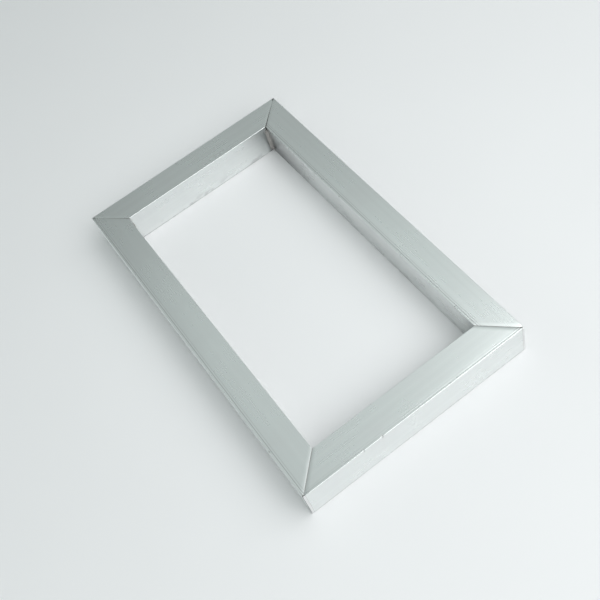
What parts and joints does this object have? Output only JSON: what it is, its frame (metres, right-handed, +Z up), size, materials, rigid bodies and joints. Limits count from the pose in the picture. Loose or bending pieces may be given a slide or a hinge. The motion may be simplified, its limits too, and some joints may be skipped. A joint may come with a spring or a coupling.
{
  "type": "screen printing frame",
  "caption": "Bare rectangular screen printing frame of hollow mitred aluminium rails, welded at the corners, ready for mesh.",
  "frame": {"origin": "middle of the underside, on the plane the frame rests on", "axes": "+Z up out of the upper broad face, +Y along the long rails to the back rail, +X to the right rail"},
  "size_m": [0.195, 0.33, 0.03],
  "materials": {
    "mill_aluminium": "mill finish with fine die lines along each rail",
    "dressed_weld": "ground flush with a fine belt",
    "weld_bead": "as welded, fine ripples, faint straw tint"
  },
  "bodies": {
    "root": {"rail_front": "mill_aluminium", "rail_right": "mill_aluminium", "rail_back": "mill_aluminium", "rail_left": "mill_aluminium", "outside_weld_front_left": "dressed_weld", "outside_weld_front_right": "dressed_weld", "outside_weld_back_right": "dressed_weld", "outside_weld_back_left": "dressed_weld", "inside_weld_front_left": "weld_bead", "inside_weld_front_right": "weld_bead", "inside_weld_back_right": "weld_bead", "inside_weld_back_left": "weld_bead", "underside_weld_front_left": "dressed_weld", "underside_weld_front_right": "dressed_weld", "underside_weld_back_right": "dressed_weld", "underside_weld_back_left": "dressed_weld"}
  },
  "joints": []
}
